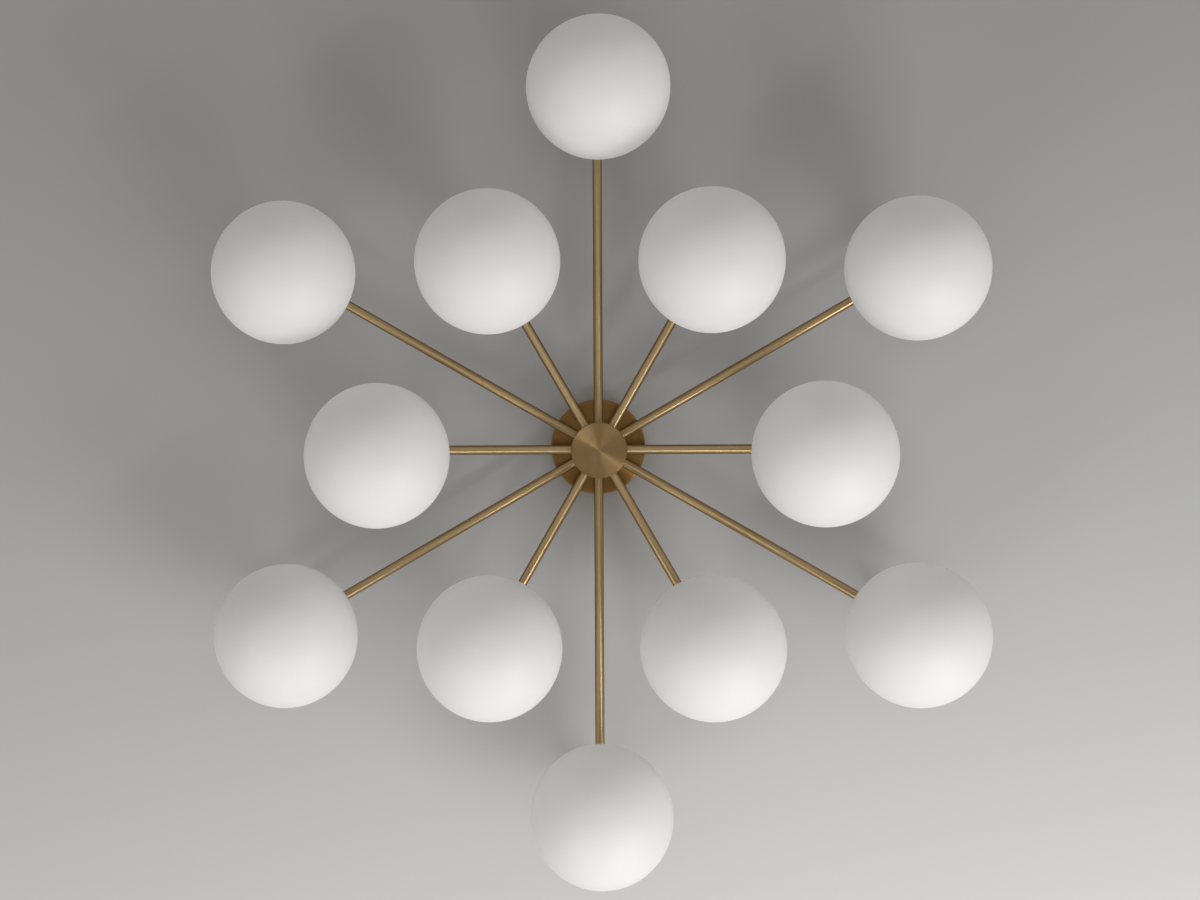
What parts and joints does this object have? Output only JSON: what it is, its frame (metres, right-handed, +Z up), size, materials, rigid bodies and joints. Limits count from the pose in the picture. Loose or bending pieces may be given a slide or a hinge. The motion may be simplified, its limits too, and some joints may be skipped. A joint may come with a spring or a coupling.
{
  "type": "sputnik ceiling light",
  "caption": "Flush ceiling light: round canopy and hub carry straight brass arms in two tiers, each with an opal glass globe hung below its end.",
  "frame": {"origin": "centre of the ceiling bracket's top face, on the ceiling plane", "axes": "+Z up to the ceiling, along the hub's axis; +X along the first short arm and the bracket's slots; the light lies below z = 0"},
  "size_m": [0.81, 0.912, 0.25],
  "materials": {
    "spun_brass": "aged brass, flat face brushed in circles",
    "turned_brass": "aged brass, turned satin",
    "brushed_brass_face": "aged brass, brushed in circles, bright chamfer",
    "tube_brass": "aged brass tube, brushed lengthwise",
    "nut_brass": "plain turned brass",
    "opal_glass": "satin opal white",
    "bulb_glass": "frosted",
    "ceramic": null,
    "zinc_steel": "zinc plated",
    "screw_steel": "brass plated",
    "white_plastic": "moulded",
    "lead_sheath": "pale flexible sheath"
  },
  "bodies": {
    "light": {"ceiling_bracket": "zinc_steel", "bracket_screws": "screw_steel", "canopy": "spun_brass", "threaded_stem": "zinc_steel", "stem_nuts": "zinc_steel", "hub_body": "turned_brass", "terminal_blocks": "white_plastic", "arm_lock_nuts": "nut_brass", "lampholders": "ceramic", "holder_fixings": "turned_brass", "wiring_leads": "lead_sheath", "outer_arm_1": "tube_brass", "outer_cup_1": "turned_brass", "outer_arm_2": "tube_brass", "outer_cup_2": "turned_brass", "outer_arm_3": "tube_brass", "outer_cup_3": "turned_brass", "outer_arm_4": "tube_brass", "outer_cup_4": "turned_brass", "outer_arm_5": "tube_brass", "outer_cup_5": "turned_brass", "outer_arm_6": "tube_brass", "outer_cup_6": "turned_brass", "inner_arm_1": "tube_brass", "inner_cup_1": "turned_brass", "inner_arm_2": "tube_brass", "inner_cup_2": "turned_brass", "inner_arm_3": "tube_brass", "inner_cup_3": "turned_brass", "inner_arm_4": "tube_brass", "inner_cup_4": "turned_brass", "inner_arm_5": "tube_brass", "inner_cup_5": "turned_brass", "inner_arm_6": "tube_brass", "inner_cup_6": "turned_brass"},
    "hub_cap": {"hub_cap": "brushed_brass_face"},
    "outer_globe_1": {"outer_globe_1": "opal_glass"},
    "outer_bulb_1": {"outer_bulb_1": "bulb_glass"},
    "outer_globe_2": {"outer_globe_2": "opal_glass"},
    "outer_bulb_2": {"outer_bulb_2": "bulb_glass"},
    "outer_globe_3": {"outer_globe_3": "opal_glass"},
    "outer_bulb_3": {"outer_bulb_3": "bulb_glass"},
    "outer_globe_4": {"outer_globe_4": "opal_glass"},
    "outer_bulb_4": {"outer_bulb_4": "bulb_glass"},
    "outer_globe_5": {"outer_globe_5": "opal_glass"},
    "outer_bulb_5": {"outer_bulb_5": "bulb_glass"},
    "outer_globe_6": {"outer_globe_6": "opal_glass"},
    "outer_bulb_6": {"outer_bulb_6": "bulb_glass"},
    "inner_globe_1": {"inner_globe_1": "opal_glass"},
    "inner_bulb_1": {"inner_bulb_1": "bulb_glass"},
    "inner_globe_2": {"inner_globe_2": "opal_glass"},
    "inner_bulb_2": {"inner_bulb_2": "bulb_glass"},
    "inner_globe_3": {"inner_globe_3": "opal_glass"},
    "inner_bulb_3": {"inner_bulb_3": "bulb_glass"},
    "inner_globe_4": {"inner_globe_4": "opal_glass"},
    "inner_bulb_4": {"inner_bulb_4": "bulb_glass"},
    "inner_globe_5": {"inner_globe_5": "opal_glass"},
    "inner_bulb_5": {"inner_bulb_5": "bulb_glass"},
    "inner_globe_6": {"inner_globe_6": "opal_glass"},
    "inner_bulb_6": {"inner_bulb_6": "bulb_glass"}
  },
  "joints": [
    {"name": "outer_globe_1_off", "type": "slide", "parent": "light", "child": "outer_globe_1", "axis": [0, 0, -1], "range_m": [0, 0.09]},
    {"name": "outer_bulb_1_pull", "type": "slide", "parent": "light", "child": "outer_bulb_1", "axis": [0, 0, -1], "range_m": [0, 0.012]},
    {"name": "outer_globe_2_off", "type": "slide", "parent": "light", "child": "outer_globe_2", "axis": [0, 0, -1], "range_m": [0, 0.09]},
    {"name": "outer_bulb_2_pull", "type": "slide", "parent": "light", "child": "outer_bulb_2", "axis": [0, 0, -1], "range_m": [0, 0.012]},
    {"name": "outer_globe_3_off", "type": "slide", "parent": "light", "child": "outer_globe_3", "axis": [0, 0, -1], "range_m": [0, 0.09]},
    {"name": "outer_bulb_3_pull", "type": "slide", "parent": "light", "child": "outer_bulb_3", "axis": [0, 0, -1], "range_m": [0, 0.012]},
    {"name": "outer_globe_4_off", "type": "slide", "parent": "light", "child": "outer_globe_4", "axis": [0, 0, -1], "range_m": [0, 0.09]},
    {"name": "outer_bulb_4_pull", "type": "slide", "parent": "light", "child": "outer_bulb_4", "axis": [0, 0, -1], "range_m": [0, 0.012]},
    {"name": "outer_globe_5_off", "type": "slide", "parent": "light", "child": "outer_globe_5", "axis": [0, 0, -1], "range_m": [0, 0.09]},
    {"name": "outer_bulb_5_pull", "type": "slide", "parent": "light", "child": "outer_bulb_5", "axis": [0, 0, -1], "range_m": [0, 0.012]},
    {"name": "outer_globe_6_off", "type": "slide", "parent": "light", "child": "outer_globe_6", "axis": [0, 0, -1], "range_m": [0, 0.09]},
    {"name": "outer_bulb_6_pull", "type": "slide", "parent": "light", "child": "outer_bulb_6", "axis": [0, 0, -1], "range_m": [0, 0.012]},
    {"name": "inner_globe_1_off", "type": "slide", "parent": "light", "child": "inner_globe_1", "axis": [0, 0, -1], "range_m": [0, 0.09]},
    {"name": "inner_bulb_1_pull", "type": "slide", "parent": "light", "child": "inner_bulb_1", "axis": [0, 0, -1], "range_m": [0, 0.012]},
    {"name": "inner_globe_2_off", "type": "slide", "parent": "light", "child": "inner_globe_2", "axis": [0, 0, -1], "range_m": [0, 0.09]},
    {"name": "inner_bulb_2_pull", "type": "slide", "parent": "light", "child": "inner_bulb_2", "axis": [0, 0, -1], "range_m": [0, 0.012]},
    {"name": "inner_globe_3_off", "type": "slide", "parent": "light", "child": "inner_globe_3", "axis": [0, 0, -1], "range_m": [0, 0.09]},
    {"name": "inner_bulb_3_pull", "type": "slide", "parent": "light", "child": "inner_bulb_3", "axis": [0, 0, -1], "range_m": [0, 0.012]},
    {"name": "inner_globe_4_off", "type": "slide", "parent": "light", "child": "inner_globe_4", "axis": [0, 0, -1], "range_m": [0, 0.09]},
    {"name": "inner_bulb_4_pull", "type": "slide", "parent": "light", "child": "inner_bulb_4", "axis": [0, 0, -1], "range_m": [0, 0.012]},
    {"name": "inner_globe_5_off", "type": "slide", "parent": "light", "child": "inner_globe_5", "axis": [0, 0, -1], "range_m": [0, 0.09]},
    {"name": "inner_bulb_5_pull", "type": "slide", "parent": "light", "child": "inner_bulb_5", "axis": [0, 0, -1], "range_m": [0, 0.012]},
    {"name": "inner_globe_6_off", "type": "slide", "parent": "light", "child": "inner_globe_6", "axis": [0, 0, -1], "range_m": [0, 0.09]},
    {"name": "inner_bulb_6_pull", "type": "slide", "parent": "light", "child": "inner_bulb_6", "axis": [0, 0, -1], "range_m": [0, 0.012]},
    {"name": "hub_cap_off", "type": "slide", "parent": "light", "child": "hub_cap", "axis": [0, 0, -1], "range_m": [0, 0.03]}
  ]
}
